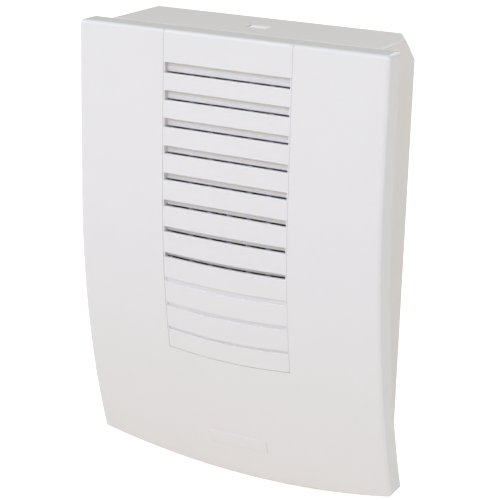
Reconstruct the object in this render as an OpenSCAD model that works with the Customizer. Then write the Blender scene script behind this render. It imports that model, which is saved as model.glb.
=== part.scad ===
// Wall-mounted two-tone door chime.
// A clip-on cover with a louvred panel closes a tray, in which a solenoid throws a plunger
// against two tone bars. X is the viewer's right, Y runs into the wall and Z is up.
// The origin lies on the wall, behind the middle of the tray.

/* [Case] */
// Depth from the wall to the flat of the front
case_d = 38; // [36:0.5:48]
// Width of the cover at its top
cover_w = 110; // [106:1:130]
// Height of the cover, down to the lowest point of its bowed edge
cover_h = 159; // [154:1:175]
// Depth of the cover's edge
rim_d = 8.5; // [7.5:0.5:11]
// Thickness of the cover's walls
cover_wall = 2.2; // [1.8:0.1:2.8]
// How far the cover stands out past each side of the tray
overhang = 7; // [5:0.5:9]
// How far the cover hangs down below the tray
tail_h = 19.5; // [16:0.5:24]

/* [Front shape] */
// Height of the flat part of the front, from the top
flat_h = 52.3; // [40:0.1:60]
// Radius of the front below its flat part
front_r = 300; // [270:5:400]
// How much further out each side stands at the bottom than at the top
side_flare = 1.7; // [0.5:0.1:3]
// How far the bottom edge bows down in its middle
bottom_bow = 6.7; // [4:0.1:9]
// Length of the plain raised pad low on the front
pad_l = 22; // [14:0.5:30]
// Height of the plain raised pad
pad_h = 5; // [3:0.5:8]
// Height of the pad's middle above the lowest point of the cover
pad_rise = 15.4; // [12:0.1:24]

/* [Louvred panel] */
// Width of the panel's window in the cover
panel_w = 46; // [42:0.5:52]
// Height of the window at its sides, from the top
panel_h = 110; // [108:0.5:114]
// How far the window's lower edge bows down
panel_bow = 1.5; // [0.5:0.1:3]
// Distance from the top to the first slat's upper edge
slot_first = 14.05; // [13:0.05:16]
// Distance from slat to slat
slot_pitch = 8.89; // [8.6:0.01:9]
// Number of open slots
slot_count = 8; // [6:1:8]
// Number of blind grooves below the open slots
groove_count = 3; // [1:1:3]
// Height of the first slot
gap_first = 3.5; // [3:0.1:4]
// How much less high each slot is than the one above
gap_step = 0.26; // [0.1:0.01:0.28]
// Depth of a slot's recess
slot_depth = 1.9; // [1.7:0.1:3]
// Depth of a blind groove
groove_depth = 0.6; // [0.4:0.1:1.2]
// Number of straight slots, above the bowed ones
straight_count = 6; // [4:1:6]
// How much more each further slot bows down
bow_step = 0.31; // [0.1:0.01:0.4]
// Thickness of the slats
slat_t = 1.4; // [1.2:0.1:1.8]
// Thickness of the strips that stand behind the slots
strip_t = 2.8; // [2.2:0.1:3.2]
// Width of the ribs behind the slats
rib_w = 1.8; // [1.2:0.1:2.2]
// Distance from rib to rib
rib_pitch = 7.2; // [6.6:0.1:7.8]
// Width of the flange behind the window's edge
flange_w = 3.6; // [3:0.1:5]
// Thickness of the flange
flange_t = 1.5; // [1:0.1:2]
// Diameter of the staked pegs that hold the flange
stake_d = 2; // [1.6:0.1:2.2]

/* [Tray] */
// Thickness of the tray's walls
base_wall = 2; // [1.6:0.1:2.6]
// Thickness of the tray's floor
floor_t = 2.2; // [2:0.1:3]
// Depth by which the tray's rim lies behind the front surface
rim_setback = 5; // [4.9:0.1:5.4]
// Distance between the two wall screws
screw_pitch = 112; // [106:1:114]
// Diameter of the wall screw holes
screw_d = 4.5; // [4:0.1:5.5]
// Width of the catch window in the tray's top
catch_w = 7.3; // [6:0.1:9]
// Depth of the catch window
catch_d = 3.6; // [3:0.1:4.5]
// Distance from the wall to the catch window's rear edge
catch_y = 15.3; // [14:0.1:17]
// Bevel along the catch window's rear edge
catch_bevel = 0.6; // [0.3:0.1:1]
// Cut at the upper right rear corner, along the back edge
corner_x = 5; // [4:0.1:6]
// Cut at that corner, along the side edge
corner_y = 9; // [7:0.1:10]
// Cut at that corner, down the rear edge
corner_z = 8.2; // [7:0.1:9]
// Diameter of the cable grommet's bore
cable_d = 6; // [5:0.5:7]

/* [Chime] */
// Room between the tray's top wall and the end of the left, lower-toned bar
bar_end_gap = 4.75; // [3:0.25:9]
// How much shorter the right, higher-toned bar is
bar_less = 14; // [6:1:22]
// Width of the tone bars
bar_w = 16; // [12:0.5:17]
// Thickness of the tone bars
bar_t = 2.5; // [2:0.1:3]
// Distance from the tray's side wall to a tone bar
bar_out = 5; // [4.8:0.1:6]
// Height of the chime's axis above the tray's middle
mech_z = 4; // [2:0.5:6]
// Distance from the wall to the chime's axis
mech_d = 17; // [16.5:0.5:18]
// Free travel from rest to the left bar
travel_left = 3; // [2:0.5:4]
// Free travel from rest to the right bar
travel_right = 8; // [6:0.5:9]
// Diameter of the plunger's steel core
core_d = 8; // [7:0.1:8.4]
// Length of the plunger's steel core
core_l = 44; // [42:0.5:46]
// Length of the left striker's head
striker_l = 5.4; // [4:0.1:7]
// Diameter of the right striker
striker_d = 6; // [5:0.1:6.6]
// Length of the coil's bobbin
bobbin_l = 30; // [28:0.5:32]
// Size of the bobbin's square flanges
flange_s = 18; // [17:0.5:20]
// Wall of the bobbin's tube
tube_wall = 1; // [0.8:0.1:1.4]
// Thickness of the steel yoke
yoke_t = 1.5; // [1.2:0.1:2]
// Diameter of the return spring's wire
wire_d = 0.7; // [0.5:0.05:0.8]
// Number of turns in the return spring
turns = 8; // [6:1:10]

/* [Terminals] */
// Width of the terminal block
term_w = 24; // [22:0.5:28]
// Height of the terminal block
term_h = 13; // [12:0.5:15]
// Depth of the terminal block
term_d = 11; // [10:0.5:13]
// Distance between the two wire clamps
term_pitch = 13; // [12:0.5:15]
// Bore of the wire clamps
clamp_bore = 3.2; // [2.8:0.1:3.6]
// Diameter of the coil's insulated leads
lead_d = 1.4; // [1:0.1:1.6]

/* [Hidden] */

$fn = 48;
// Steps in a wide arc, the overlap of joined shapes, and how far a cut runs past a face
fine = 720;
eps = 0.05;
past = 1;
// Depth of a shape that reaches past the front
reach = case_d + past;

// Case
base_w = cover_w - 2 * overhang;
base_h = cover_h - tail_h;
top_z = base_h / 2;
low_z = top_z - cover_h;
arc_z = top_z - flat_h;
bow_r = arc_radius(cover_w / 2, bottom_bow);
pad_proud = 0.25;
in_x = base_w / 2 - base_wall;
in_z = base_h / 2 - base_wall;
side_gap = 0.25;
lip_gap = 0.4;
shoulder_gap = 0.2;
shoulder_d = case_d - rim_d - shoulder_gap;
lip_top = top_z - cover_wall - lip_gap;
joggle_t = 2.5;

// Locating ribs, pegs and sockets that line the cover up with the tray
rib_t = 1.5;
rib_count = 4;
rib_inset = 19.5;
rib_short = 1;
rib_span = base_h - 2 * rib_inset;
peg_d = 4;
peg_gap = 0.15;
peg_reach = 10;
peg_in = 13;
peg_up = 5.75;
peg_x = in_x - peg_in;
peg_z = -in_z + peg_up;
socket_wall = 1.5;
socket_drop = 12;
socket_d = case_d - rim_d - socket_drop;

// Louvred panel
panel_gap = 0.2;
panel_t = slot_depth + strip_t;
slit_lift = 0.2;
pocket_h = 3;
rail_w = 1.5;
rib_side = 2;
rib_drop = 1;
rib_back = 2.2;
slot_end = 0.6;
slot_half = panel_w / 2 - panel_gap - slot_end;
stake_x = panel_w / 2 + flange_w / 2;
stake_rows = 4;
stake_first = 10;
stake_pitch = (panel_h - 2 * stake_first + panel_bow) / (stake_rows - 1);
stake_zs = [for (i = [0:stake_rows - 1]) top_z - stake_first - stake_pitch * i];
stake_gap = 0.1;
stake_head = 0.8;
stake_brim = 0.6;
stake_l = flange_t + 2 * stake_gap + stake_head;

// Latch tongue
latch_play = 0.25;
latch_w = catch_w - 2 * latch_play;
latch_t = 1.6;
latch_drop = 1.6;
latch_z = lip_top - latch_drop;
latch_gap = 0.3;
barb_sink = 0.1;
barb_lead = 2.1;
barb_crest = 0.8;
latch_root = case_d - panel_t - latch_gap - latch_t / 2;
barb_gap = 0.2;
barb_rear = -catch_y - barb_gap;
barb_z = top_z - latch_z - barb_sink;
latch_room = 0.6;

// Wall screw holes, cable entry and the thin corner
corner_wall = 1;
corner_pocket = 8;
cable_x = -18;
cable_up = 9.75;
cable_z = -in_z + cable_up;
grommet_wall = 2;
entry_d = cable_d + 2 * grommet_wall;
lip_w = 2;
lip_d = entry_d + 2 * lip_w;
lip_t = 1.3;
recess_gap = 0.5;
recess_t = 1.5;
entry_pad_w = 2;
entry_pad_t = 2;

// Tone bars
bar_l_left = 2 * (in_z - mech_z - bar_end_gap);
bar_l_right = bar_l_left - bar_less;
bar_side = in_x - bar_out;
bar_in = bar_side - bar_t;
node_share = 0.224;
post_d = 3.9;
post_gap = 0.05;
grommet_neck = 6;
grommet_d = 9;
grommet_in = 2;
grommet_out = 2.2;
standoff_gap = 0.1;
standoff_l = bar_out - grommet_out - standoff_gap;
cap_t = 1;
cap_d = 8;

// Plunger and coil
strike_gap = 0.1;
tip_l = -bar_in + strike_gap + travel_left;
tip_r = bar_in - strike_gap - travel_right;
core_x0 = tip_l + striker_l;
core_x1 = core_x0 + core_l;
coil_x = 5;
bobbin_x0 = coil_x - bobbin_l / 2;
bobbin_x1 = coil_x + bobbin_l / 2;
bobbin_rim = 1.5;
bore_gap = 0.08;
bore_d = core_d + 2 * bore_gap;
tube_d = bore_d + 2 * tube_wall;
tape_t = 0.3;
coil_margin = 0.7;
coil_d = flange_s - 2 * coil_margin;
coil_gap = 0.05;
tape_inset = 4;
stub_d = 4;
stub_l = 5;
stub_gap = 0.2;
dome_share = 1.5;
striker_inset = 0.2;
clip_t = 0.6;
clip_inset = 2;
clip_groove = 0.7;
clip_out = 2;
clip_d = core_d + 2 * clip_out;
clip_mouth = 5.8;
yoke_gap = 0.1;
yoke_clear = 0.4;
yoke_hole = core_d + 2 * yoke_clear;
yoke_back = mech_d - flange_s / 2 - yoke_gap;
ear_w = 9;
ear_reach = 8;
ear_shift = 0.5;
ear_z = flange_s / 2 + ear_reach / 2 + ear_shift;
boss_d = 7;
spring_clear = 0.45;
spring_gap = 0.05;
spring_r = core_d / 2 + wire_d / 2 + spring_clear;

// Small screws with a cross in the head
small_screw_d = 2.9;
small_head_d = 5.6;
small_head_t = 1.8;
cross_l = 3.4;
cross_w = 0.65;
screw_tip_gap = 0.4;
head_gap = 0.2;

// Terminals and cable clamp
clamp_wall = 0.7;
clamp_depth = 6.5;
clamp_inset = 1;
term_screw_d = 3;
term_well = 5;
term_head_d = 4.6;
term_head_t = 1.6;
term_slot_w = 0.75;
term_screw_l = 4;
clip_bar_l = 20;
clip_bar_w = 6;
clip_bar_t = 2.5;
clip_bar_pitch = 14;
clip_bar_up = 9;
clip_bar_z = cable_z + clip_bar_up;
clip_boss_d = 6;
clip_boss_h = 4.5;
wire_groove_d = 4.8;
wire_groove_off = 1.2;
term_gap = 1.5;
term_z = clip_bar_z + clip_bar_w / 2 + term_gap + term_h / 2;

// Leads from the coil's underside down into the terminal block's clamps
lead_gap = 0.1;
lead_drop = 4;
lead_in = 4;
lead_out = 4;
lead_spread = 8.5;
lead_steps = 3;
lead_sides = 8;
function lead_start(x, drop) = [x, -mech_d, mech_z - coil_d / 2 - lead_gap - drop];
function lead_end(x, dz) = [x, -clamp_depth - floor_t, term_z + term_h / 2 + dz];
function between(a, b, share) = a + (b - a) * share;
function lead_route(x, end_x) = let (a = lead_start(x, lead_drop), b = lead_end(end_x, lead_out))
    [lead_start(x, 0), a, between(a, b, 1 / 3), between(a, b, 2 / 3), b, lead_end(end_x, -lead_in)];
lead_left = lead_route(coil_x - lead_spread, -term_pitch / 2);
lead_right = lead_route(coil_x + lead_spread, term_pitch / 2);

function span(middle, half) = [middle - half, middle + half];
function arc_radius(half, bow) = (half * half + bow * bow) / (2 * bow);
function front_drop(h) = h > 0 ? front_r - sqrt(front_r * front_r - h * h) : 0;
function front_y(z) = front_drop(arc_z - z) - case_d;
function slat_z(i) = top_z - slot_first - slot_pitch * i;
function slot_gap(i) = gap_first - gap_step * i;
function slot_bow(i) = max(0, i + 1 - straight_count) * bow_step;

// Directions: a solid pushed out along X, a flat shape pushed out towards the viewer, and two rods
module along_x(w) rotate([90, 0, 90]) linear_extrude(height = w, center = true) children();
module elevation(d) rotate([90, 0, 0]) linear_extrude(height = d) children();
module rod_x(d, l) rotate([0, 90, 0]) cylinder(d = d, h = l);
module rod_y(d, l) rotate([90, 0, 0]) cylinder(d = d, h = l);
module block(x, d, z) translate([x[0], -d[1], z[0]]) cube([x[1] - x[0], d[1] - d[0], z[1] - z[0]]);

// Everything behind the front surface, set back by some depth, in the side view
module behind(setback) {
    translate([setback - case_d, arc_z]) square([2 * case_d, cover_h]);
    intersection() {
        translate([setback - case_d + front_r, arc_z]) circle(r = front_r, $fn = fine);
        translate([setback - case_d, arc_z - cover_h]) square([2 * case_d, cover_h + eps]);
    }
}

// A layer of even depth that follows the front surface
module layer(setback, depth, w = 2 * cover_w) along_x(w) difference() {
    behind(setback);
    behind(setback + depth);
}

// The cover's outline in the front view, drawn in by some width
module outline(inset) {
    half = cover_w / 2 - inset;
    intersection() {
        polygon([[-half, top_z - inset], [half, top_z - inset], [half, arc_z],
            [half + side_flare, low_z], [-half - side_flare, low_z], [-half, arc_z]]);
        translate([0, low_z + bow_r]) circle(r = bow_r - inset, $fn = fine);
    }
}

// The panel's window in the front view: open at the top, bowed at the bottom
module window(inset, top) {
    half = panel_w / 2 - inset;
    r = arc_radius(panel_w / 2, panel_bow);
    intersection() {
        translate([-half, top_z - panel_h - 2 * panel_bow])
            square([2 * half, top - top_z + panel_h + 2 * panel_bow]);
        translate([0, top_z - panel_h - panel_bow + r]) circle(r = r - inset, $fn = fine);
    }
}

// A band across the panel: its lower edge is at z at the window's sides and bows down in the middle
module band(z, h, bow) {
    half = panel_w / 2 + eps;
    if (bow == 0)
        translate([-half, z]) square([2 * half, h]);
    else {
        r = arc_radius(panel_w / 2, bow);
        intersection() {
            difference() {
                translate([0, z - bow + r]) circle(r = r, $fn = fine);
                translate([0, z - bow + r]) circle(r = r - h, $fn = fine);
            }
            translate([-half, z - 2 * bow - eps]) square([2 * half, h + 2 * bow + 2 * eps]);
        }
    }
}

// Place on the tray's floor, sunk in a little so that what stands there is one piece with it
module on_floor(x, z) translate([x, eps - floor_t, z]) children();

// Tray with its stepped rim, posts, bosses and sockets
module base_housing() color("whitesmoke") difference() {
    union() {
        intersection() {
            difference() {
                block([-base_w / 2, base_w / 2], [0, case_d], [-top_z, top_z]);
                block([-in_x, in_x], [floor_t, case_d + eps], [-in_z, in_z]);
                block([-base_w, base_w], [shoulder_d, case_d + eps], [lip_top, top_z + eps]);
            }
            along_x(2 * base_w) behind(rim_setback);
        }
        block(span(0, in_x + eps), [shoulder_d - joggle_t, case_d - rim_setback],
            [lip_top - base_wall, lip_top]);
        block(span(0, in_x + eps), [shoulder_d - joggle_t, shoulder_d],
            [lip_top - base_wall, top_z - eps]);
        for (s = [-1, 1]) {
            on_floor(s * peg_x, peg_z) rod_y(peg_d + 2 * peg_gap + 2 * socket_wall, socket_d - floor_t);
            on_floor(coil_x, mech_z + s * ear_z) rod_y(boss_d, yoke_back - yoke_t - floor_t + eps);
            on_floor(cable_x + s * clip_bar_pitch / 2, clip_bar_z) rod_y(clip_boss_d, clip_boss_h + eps);
        }
        for (p = bar_posts) translate([p[0] * in_x, -mech_d, p[1]]) rotate([0, 0, p[0] > 0 ? 180 : 0]) {
            translate([-eps, 0, 0]) rod_x(grommet_d, standoff_l + eps);
            rod_x(post_d, bar_out + bar_t + grommet_in + standoff_gap + cap_t);
        }
        on_floor(cable_x, cable_z) rod_y(lip_d + 2 * entry_pad_w, entry_pad_t + eps);
    }
    // Wall screw holes
    for (s = [-1, 1]) translate([0, eps, s * screw_pitch / 2]) rod_y(screw_d, floor_t + 2 * eps);
    // Sockets for the cover's pegs, and pilot holes for the screws
    for (s = [-1, 1]) {
        translate([s * peg_x, -floor_t, peg_z]) rod_y(peg_d + 2 * peg_gap, socket_d);
        translate([coil_x, -floor_t / 2, mech_z + s * ear_z]) rod_y(small_screw_d, yoke_back);
        translate([cable_x + s * clip_bar_pitch / 2, -floor_t / 2, clip_bar_z])
            rod_y(small_screw_d, clip_boss_h + floor_t);
    }
    translate([0, -floor_t / 2, term_z]) rod_y(small_screw_d, floor_t);
    // Cable entry, with a recess at the back for the grommet's rear lip
    translate([cable_x, eps, cable_z]) {
        rod_y(entry_d, floor_t + entry_pad_t + 2 * eps);
        rod_y(lip_d + 2 * recess_gap, recess_t + eps);
    }
    // Catch window with its bevel, and room for the latch tongue under the shoulder
    along_x(catch_w) polygon([[-catch_y, in_z - base_wall], [-catch_y, top_z - catch_bevel],
        [catch_bevel + eps - catch_y, top_z + eps], [-catch_y - catch_d, top_z + eps],
        [-catch_y - catch_d, in_z - base_wall]]);
    block([-catch_w / 2 - latch_room, catch_w / 2 + latch_room], [shoulder_d - joggle_t - eps, case_d],
        [lip_top - base_wall - eps, lip_top + eps]);
    // Thin corner, cut across for a cable on the wall
    block([base_w / 2 - corner_pocket, base_w / 2 - corner_wall], [corner_wall, corner_pocket + floor_t],
        [top_z - corner_pocket, top_z - corner_wall]);
    corner_cut();
}

// Half space that cuts the corner at three named distances from it
module corner_cut() {
    n = [1 / corner_x, 1 / corner_y, 1 / corner_z];
    size = corner_x + corner_y + corner_z;
    translate([base_w / 2, 0, top_z]) rotate([0, acos(n[2] / norm(n)), atan2(n[1], n[0])])
        translate([-size, -size, -1 / norm(n)]) cube(2 * size);
}

// Tone bar posts: side of the tray and height
function node_reach(l) = l / 2 - l * node_share;
function bar_l(s) = s < 0 ? bar_l_left : bar_l_right;
bar_posts = [for (s = [-1, 1]) for (e = [-1, 1]) [s, mech_z + e * node_reach(bar_l(s))]];

// Clip-on cover with the panel's window, locating ribs, pegs and stakes
module front_cover() color("white") union() {
    difference() {
        union() {
            difference() {
                intersection() {
                    elevation(reach) outline(0);
                    layer(0, rim_d);
                }
                intersection() {
                    elevation(reach) outline(cover_wall);
                    layer(cover_wall, rim_d);
                }
            }
            intersection() {
                layer(-pad_proud, pad_proud + cover_wall / 2);
                block([-pad_l / 2, pad_l / 2], [0, reach], span(low_z + pad_rise, pad_h / 2));
            }
        }
        elevation(reach) window(0, top_z + past);
    }
    intersection() {
        union() {
            for (s = [-1, 1]) for (i = [0:rib_count - 1]) {
                z = -rib_span / 2 + rib_span * i / (rib_count - 1);
                x = s > 0 ? [base_w / 2 + side_gap, cover_w] : [-cover_w, -base_w / 2 - side_gap];
                block(x, [0, case_d], [z - rib_t / 2, z + rib_t / 2]);
            }
            block([-cover_w, cover_w], [0, case_d], [-top_z - lip_gap - rib_t, -top_z - lip_gap]);
        }
        elevation(reach) outline(cover_wall - eps);
        layer(cover_wall - eps, rim_d - cover_wall - rib_short);
    }
    for (s = [-1, 1]) translate([s * peg_x, 0, peg_z]) intersection() {
        translate([0, -socket_d + peg_reach, 0]) rod_y(peg_d, case_d);
        translate([0, 0, -peg_z]) layer(cover_wall - eps, case_d);
    }
    for (s = [-1, 1]) for (z = stake_zs) translate([s * stake_x, front_y(z) + cover_wall, z]) {
        translate([0, stake_l, 0]) rod_y(stake_d, stake_l + cover_wall / 2);
        translate([0, stake_l, 0]) rod_y(stake_d + 2 * stake_brim, stake_head);
    }
}

// Louvred panel: slats in front, strips behind the slots, ribs between them, and a flange
module grille_panel() color("white") difference() {
    union() {
        intersection() {
            elevation(reach) window(panel_gap, top_z);
            layer(0, panel_t);
        }
        intersection() {
            elevation(reach) window(panel_gap, top_z);
            layer(0, rim_d);
            block([-cover_w, cover_w], [0, case_d], [top_z - cover_wall, top_z]);
        }
        intersection() {
            block([-panel_w / 2 - flange_w, panel_w / 2 + flange_w], [0, case_d],
                [top_z - panel_h - panel_bow - flange_w, top_z - cover_wall - stake_gap]);
            layer(cover_wall + stake_gap, flange_t);
        }
    }
    // Open slots and blind grooves
    for (i = [0:slot_count + groove_count - 1]) intersection() {
        elevation(reach) band(slat_z(i), slot_gap(i), slot_bow(i));
        layer(-past, past + (i < slot_count ? slot_depth : groove_depth));
        block(span(0, slot_half), [0, reach], [low_z, top_z]);
    }
    // Gap behind each open slot's slat, where the ribs stand lower
    for (i = [0:slot_count - 1]) intersection() {
        elevation(reach) band(slat_z(i) - rib_drop, rib_drop + slit_lift, slot_bow(i));
        layer(slat_t, rib_back);
        block(span(0, slot_half), [0, reach], [low_z, top_z]);
    }
    // Ways through behind the slats, between the ribs
    difference() {
        for (i = [0:slot_count - 1]) intersection() {
            elevation(reach) band(slat_z(i) + slit_lift - pocket_h, pocket_h, slot_bow(i));
            layer(slat_t, panel_t);
            block(span(0, panel_w / 2 - panel_gap - rail_w), [0, case_d], [low_z, top_z]);
        }
        for (k = [-rib_side:rib_side])
            block(span(k * rib_pitch, rib_w / 2), [0, case_d], [low_z, top_z]);
    }
    // Holes for the stakes
    for (s = [-1, 1]) for (z = stake_zs) translate([s * stake_x, front_y(z) + rim_d, z])
        rod_y(stake_d + 2 * stake_gap, rim_d - cover_wall / 2);
}

// Springy tongue behind the panel, with the barb that shows in the catch window
module latch_tongue() color("white") translate([0, 0, latch_z]) union() {
    block(span(0, latch_w / 2), [catch_y + barb_gap, latch_root], span(0, latch_t / 2));
    translate([-latch_w / 2, -latch_root, 0]) rod_x(latch_t, latch_w);
    along_x(latch_w) polygon([[barb_rear, 0], [barb_rear, barb_z - barb_lead],
        [barb_rear - barb_crest, barb_z], [barb_gap - catch_y - catch_d, latch_t / 2],
        [barb_gap - catch_y - catch_d, 0]]);
}

// Tone bar, standing on edge, with a hole at each of its still points
module tone_bar(x0, l) color("silver") difference() {
    block([x0, x0 + bar_t], span(mech_d, bar_w / 2), span(mech_z, l / 2));
    for (e = [-1, 1]) translate([x0 - eps, -mech_d, mech_z + e * node_reach(l)])
        rod_x(grommet_neck + 2 * post_gap, bar_t + 2 * eps);
}
module tone_bar_left() tone_bar(-bar_side, bar_l_left);
module tone_bar_right() tone_bar(bar_in, bar_l_right);

// Rubber grommets, two to a bar, and the caps that keep them on their posts
module on_post(p, x) translate([p[0] * x, -mech_d, p[1]]) rotate([0, p[0] > 0 ? -90 : 90, 0]) children();
module bar_grommets() color("dimgray") for (p = bar_posts) on_post(p, bar_side) difference() {
    union() {
        translate([0, 0, -grommet_out]) cylinder(d = grommet_d, h = grommet_out);
        cylinder(d = grommet_neck, h = bar_t);
        translate([0, 0, bar_t]) cylinder(d = grommet_d, h = grommet_in);
    }
    translate([0, 0, -bar_out]) cylinder(d = post_d + 2 * post_gap, h = 2 * bar_out + bar_t);
}
cap_x = bar_in - grommet_in - post_gap;
module bar_caps() color("lightgray") for (p = bar_posts) on_post(p, cap_x) difference() {
    cylinder(d = cap_d, h = cap_t);
    translate([0, 0, -eps]) cylinder(d = post_d + 2 * post_gap, h = cap_t + 2 * eps);
}

// Folded steel yoke: back, two cheeks that the plunger passes through, and two ears
module solenoid_yoke() color("lightsteelblue") {
    x0 = bobbin_x0 - yoke_gap - yoke_t;
    x1 = bobbin_x1 + yoke_gap + yoke_t;
    translate([0, 0, mech_z]) difference() {
        union() {
            block([x0, x1], [yoke_back - yoke_t, yoke_back], span(0, flange_s / 2));
            block([x0, x0 + yoke_t], [yoke_back - yoke_t, mech_d + flange_s / 2], span(0, flange_s / 2));
            block([x1 - yoke_t, x1], [yoke_back - yoke_t, mech_d + flange_s / 2], span(0, flange_s / 2));
            block(span(coil_x, ear_w / 2), [yoke_back - yoke_t, yoke_back],
                span(0, flange_s / 2 + ear_reach));
        }
        translate([x0 - eps, -mech_d, 0]) rod_x(yoke_hole, x1 - x0 + 2 * eps);
        for (s = [-1, 1]) translate([coil_x, 0, s * ear_z]) rod_y(small_screw_d + 2 * post_gap, case_d);
    }
}

// Cross-headed screw whose head sits at the origin and whose shank runs towards the wall
module small_screw(l) difference() {
    union() {
        rod_y(small_head_d, small_head_t);
        translate([0, l, 0]) rod_y(small_screw_d - 2 * post_gap, l + eps);
    }
    for (a = [0, 90]) translate([0, -small_head_t, 0]) rotate([0, a, 0])
        cube([cross_l, small_head_t, cross_w], center = true);
}
module yoke_screws() color("gainsboro") for (s = [-1, 1])
    translate([coil_x, -yoke_back, mech_z + s * ear_z])
        small_screw(yoke_back - floor_t / 2 - screw_tip_gap);

// Bobbin with square flanges, and the wire and tape wound on it
module coil_bobbin() color("khaki") translate([0, 0, mech_z]) difference() {
    union() {
        translate([bobbin_x0, -mech_d, 0]) rod_x(tube_d, bobbin_l);
        for (x = [bobbin_x0, bobbin_x1 - bobbin_rim])
            block([x, x + bobbin_rim], span(mech_d, flange_s / 2), span(0, flange_s / 2));
    }
    translate([bobbin_x0 - eps, -mech_d, 0]) rod_x(bore_d, bobbin_l + 2 * eps);
}
module wound(d_in, d_out, margin) {
    x0 = bobbin_x0 + bobbin_rim + margin;
    translate([x0, -mech_d, mech_z]) difference() {
        rod_x(d_out, 2 * (coil_x - x0));
        translate([-eps, 0, 0]) rod_x(d_in, bobbin_l);
    }
}
module coil_winding() color("peru") wound(tube_d, coil_d - 2 * tape_t, coil_gap);
module coil_tape() color("gold") wound(coil_d - 2 * tape_t, coil_d, tape_inset);

// Plunger: steel core with a clip groove, and a nylon striker in each end
module plunger_core() color("slategray") translate([0, -mech_d, mech_z]) difference() {
    translate([core_x0, 0, 0]) rod_x(core_d, core_l);
    translate([core_x0 - eps, 0, 0]) rod_x(stub_d, stub_l + eps);
    translate([core_x1 - stub_l, 0, 0]) rod_x(stub_d, stub_l + eps);
    translate([core_x0 + clip_inset, 0, 0]) difference() {
        rod_x(core_d + past, clip_t + 2 * post_gap);
        rod_x(core_d - 2 * clip_groove, clip_t + 2 * post_gap);
    }
}
// Striker that stands on the end of the core, with a domed tip and a stub in the core
module striker(d, l) rotate_extrude($fn = 96) {
    dome_r = dome_share * d;
    dome_h = dome_r - sqrt(dome_r * dome_r - d * d / 4);
    translate([0, stub_gap - stub_l]) square([stub_d / 2 - post_gap, stub_l]);
    square([d / 2, l - dome_h]);
    intersection() {
        translate([0, l - dome_h - eps]) square([d / 2, dome_h + eps]);
        translate([0, l - dome_r]) circle(r = dome_r);
    }
}
module striker_left() color("ivory") translate([core_x0, -mech_d, mech_z]) rotate([0, -90, 0])
    striker(core_d - 2 * striker_inset, striker_l);
module striker_right() color("ivory") translate([core_x1, -mech_d, mech_z]) rotate([0, 90, 0])
    striker(striker_d, tip_r - core_x1);

// Open clip in the core's groove, on which the return spring bears
clip_x = core_x0 + clip_inset + post_gap;
module spring_clip() color("dimgray") translate([clip_x, -mech_d, mech_z]) difference() {
    rod_x(clip_d, clip_t);
    translate([-eps, 0, 0]) rod_x(core_d - 2 * clip_groove + 2 * post_gap, clip_t + 2 * eps);
    translate([-eps, -clip_mouth / 2, -clip_d]) cube([clip_t + 2 * eps, clip_mouth, clip_d]);
}

// Return spring between the clip and the yoke's left cheek, as one unbroken helix
spring_x0 = clip_x + clip_t + wire_d / 2 + spring_gap;
spring_x1 = bobbin_x0 - yoke_gap - yoke_t - wire_d / 2 - spring_gap;
turn_rings = 12;
wire_sides = 6;
spring_rings = turn_rings * turns;
function spring_point(k) = let (a = 360 * k / turn_rings)
    [spring_x0 + (spring_x1 - spring_x0) * k / spring_rings, spring_r * cos(a) - mech_d,
        spring_r * sin(a) + mech_z];
spring_points = [for (k = [0:spring_rings]) spring_point(k)];
module return_spring() color("silver") tube(spring_points, wire_d, wire_sides);

// Least gap between points at least half a turn apart on the helix, less the wire's diameter
spring_gaps = [for (k = [0:spring_rings]) for (j = [k + turn_rings / 2:1:spring_rings])
    norm(spring_points[k] - spring_points[j]) - wire_d];
echo(least_spring_gap_mm = min(spring_gaps));

// Round tube along a list of points
function along(p, k) = let (a = p[max(0, k - 1)], b = p[min(len(p) - 1, k + 1)]) (b - a) / norm(b - a);
function across(t) = let (c = cross(t, abs(t[0]) < 0.8 ? [1, 0, 0] : [0, 1, 0])) c / norm(c);
module tube(p, d, sides) {
    rings = len(p);
    points = [for (k = [0:rings - 1]) let (t = along(p, k), u = across(t), v = cross(t, u))
        for (s = [0:sides - 1]) p[k] + d / 2 * (cos(360 * s / sides) * u + sin(360 * s / sides) * v)];
    walls = [for (k = [0:rings - 2]) for (s = [0:sides - 1])
        let (a = k * sides + s, b = k * sides + (s + 1) % sides)
        each [[a, b + sides, b], [a, a + sides, b + sides]]];
    last = (rings - 1) * sides;
    caps = [for (s = [1:sides - 2]) each [[0, s, s + 1], [last, last + s + 1, last + s]]];
    polyhedron(points, concat(walls, caps));
}

// Smooth run through a lead's points
function smooth_point(p, t) = let (n = len(p) - 1, i = min(n - 1, floor(t)), f = t - i,
    a = p[max(0, i - 1)], b = p[i], c = p[i + 1], d = p[min(n, i + 2)])
    0.5 * (2 * b + (c - a) * f + (2 * a - 5 * b + 4 * c - d) * f * f + (3 * b - a - 3 * c + d) * f * f * f);
module lead(p) tube([for (k = [0:lead_steps * (len(p) - 1)]) smooth_point(p, k / lead_steps)],
    lead_d, lead_sides);
module coil_lead_left() color("firebrick") lead(lead_left);
module coil_lead_right() color("black") lead(lead_right);

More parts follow.
